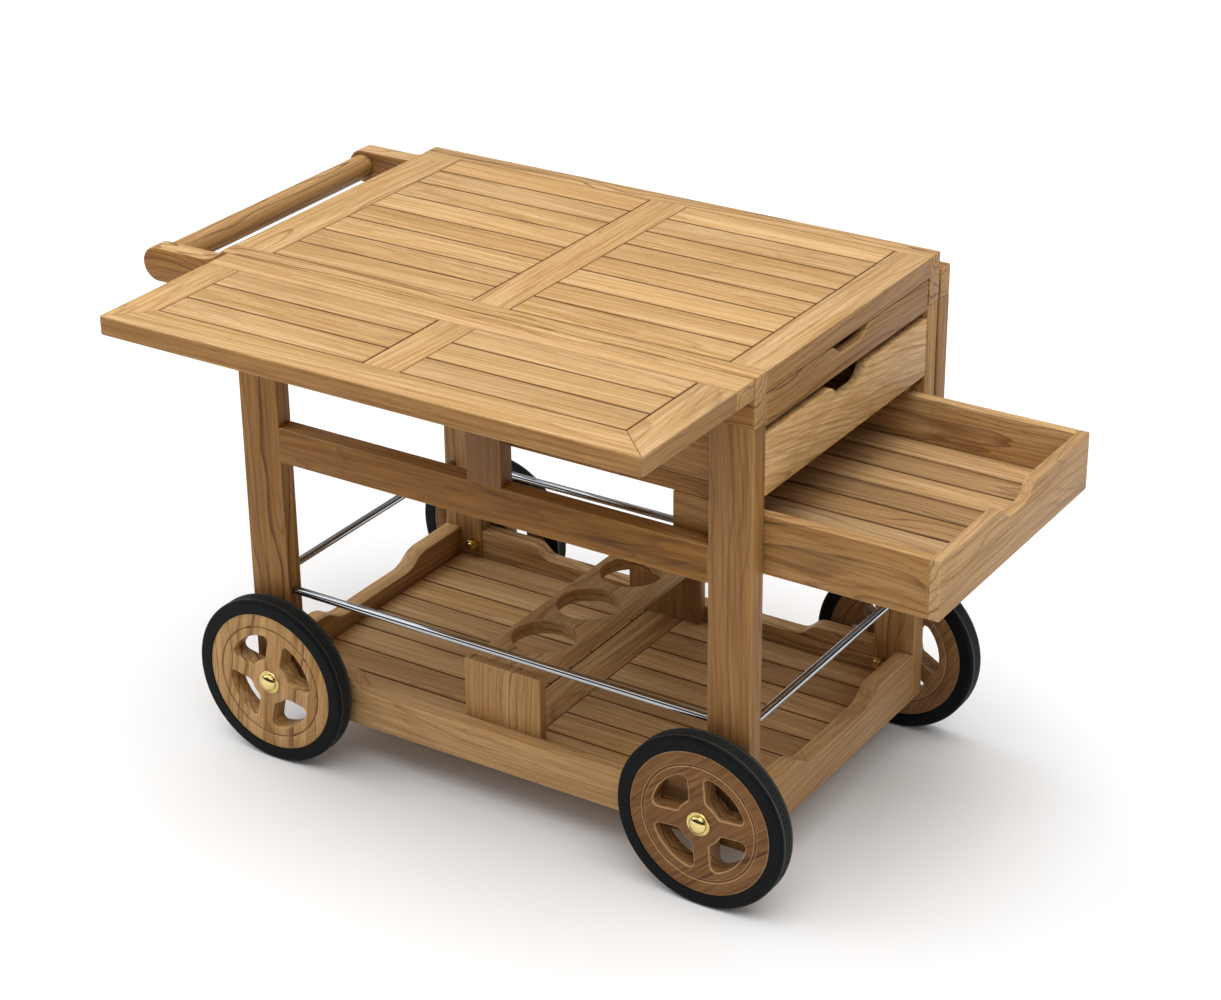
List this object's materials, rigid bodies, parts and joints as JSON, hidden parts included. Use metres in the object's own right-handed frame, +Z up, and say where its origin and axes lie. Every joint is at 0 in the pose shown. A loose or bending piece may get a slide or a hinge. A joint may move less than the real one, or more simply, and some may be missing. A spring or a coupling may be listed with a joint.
{
  "type": "bar cart",
  "caption": "Teak drinks trolley: slatted deck with drop leaves along its sides, pull-out drawer and trays, shelf with a bottle rack, guard rods, push handle and rubber-tyred wooden wheels.",
  "frame": {"origin": "on the floor, under the middle of the cart's box as stored", "axes": "+X along the cart from the push handle to the trays, +Y across it to the rear, +Z up"},
  "size_m": [1.264, 0.8404, 0.7865],
  "materials": {
    "teak": "oiled satin teak",
    "wheel_teak": "oiled satin teak",
    "tyre": "matt black rubber",
    "brass": "polished brass",
    "steel": "polished"
  },
  "bodies": {
    "frame": {"front_side_rail": "teak", "rear_side_rail": "teak", "handle_bar": "teak", "deck_end_rails": "teak", "deck_cross_rail": "teak", "deck_slats": "teak", "front_left_leg": "teak", "front_right_leg": "teak", "rear_left_leg": "teak", "rear_right_leg": "teak", "mid_rails": "teak", "mid_posts": "teak", "side_rods": "steel", "end_rods": "steel", "shelf_side_boards": "teak", "shelf_end_boards": "teak", "shelf_cross_board": "teak", "shelf_slats": "teak", "rack_ends": "teak", "bottle_board": "teak", "tray_runners": "teak", "axle_bolts": "brass", "hub_washers": "brass", "axle_spacers": "steel", "axle_nuts": "brass", "front_hinge_plates": "brass", "front_hinge_pins": "brass", "rear_hinge_plates": "brass", "rear_hinge_pins": "brass"},
    "front_leaf": {"front_leaf_hinges": "brass", "front_leaf_side_rails": "teak", "front_leaf_end_rails": "teak", "front_leaf_cross_rail": "teak", "front_leaf_slats": "teak"},
    "rear_leaf": {"rear_leaf_hinges": "brass", "rear_leaf_side_rails": "teak", "rear_leaf_end_rails": "teak", "rear_leaf_cross_rail": "teak", "rear_leaf_slats": "teak"},
    "drawer": {"drawer_front": "teak", "drawer_back": "teak", "drawer_sides": "teak", "drawer_floor": "teak"},
    "mid_tray": {"mid_tray_front": "teak", "mid_tray_back": "teak", "mid_tray_sides": "teak", "mid_tray_floor": "teak"},
    "lower_tray": {"lower_tray_front": "teak", "lower_tray_back": "teak", "lower_tray_sides": "teak", "lower_tray_floor": "teak"},
    "front_left_wheel": {"front_left_wheel_disc": "wheel_teak", "front_left_wheel_tyre": "tyre"},
    "front_right_wheel": {"front_right_wheel_disc": "wheel_teak", "front_right_wheel_tyre": "tyre"},
    "rear_left_wheel": {"rear_left_wheel_disc": "wheel_teak", "rear_left_wheel_tyre": "tyre"},
    "rear_right_wheel": {"rear_right_wheel_disc": "wheel_teak", "rear_right_wheel_tyre": "tyre"}
  },
  "joints": [
    {"name": "front_leaf_hinge", "type": "hinge", "parent": "frame", "child": "front_leaf", "pos_m": [-0.046, -0.15315, 0.7551], "axis": [1, 0, 0], "range_deg": [0, 90]},
    {"name": "rear_leaf_hinge", "type": "hinge", "parent": "frame", "child": "rear_leaf", "pos_m": [-0.046, 0.37085, 0.7551], "axis": [1, 0, 0], "range_deg": [0, 90]},
    {"name": "drawer_slide", "type": "slide", "parent": "frame", "child": "drawer", "axis": [1, 0, 0], "range_m": [0, 0.3]},
    {"name": "mid_tray_slide", "type": "slide", "parent": "frame", "child": "mid_tray", "axis": [1, 0, 0], "range_m": [0, 0.3]},
    {"name": "lower_tray_slide", "type": "slide", "parent": "frame", "child": "lower_tray", "axis": [1, 0, 0], "range_m": [-0.254, 0.046]},
    {"name": "front_left_wheel_spin", "type": "hinge", "parent": "frame", "child": "front_left_wheel", "pos_m": [-0.416, -0.17765, 0.1317], "axis": [0, 1, 0], "continuous": true},
    {"name": "front_right_wheel_spin", "type": "hinge", "parent": "frame", "child": "front_right_wheel", "pos_m": [0.324, -0.17765, 0.1317], "axis": [0, 1, 0], "continuous": true},
    {"name": "rear_left_wheel_spin", "type": "hinge", "parent": "frame", "child": "rear_left_wheel", "pos_m": [-0.416, 0.39535, 0.1317], "axis": [0, 1, 0], "continuous": true},
    {"name": "rear_right_wheel_spin", "type": "hinge", "parent": "frame", "child": "rear_right_wheel", "pos_m": [0.324, 0.39535, 0.1317], "axis": [0, 1, 0], "continuous": true}
  ]
}
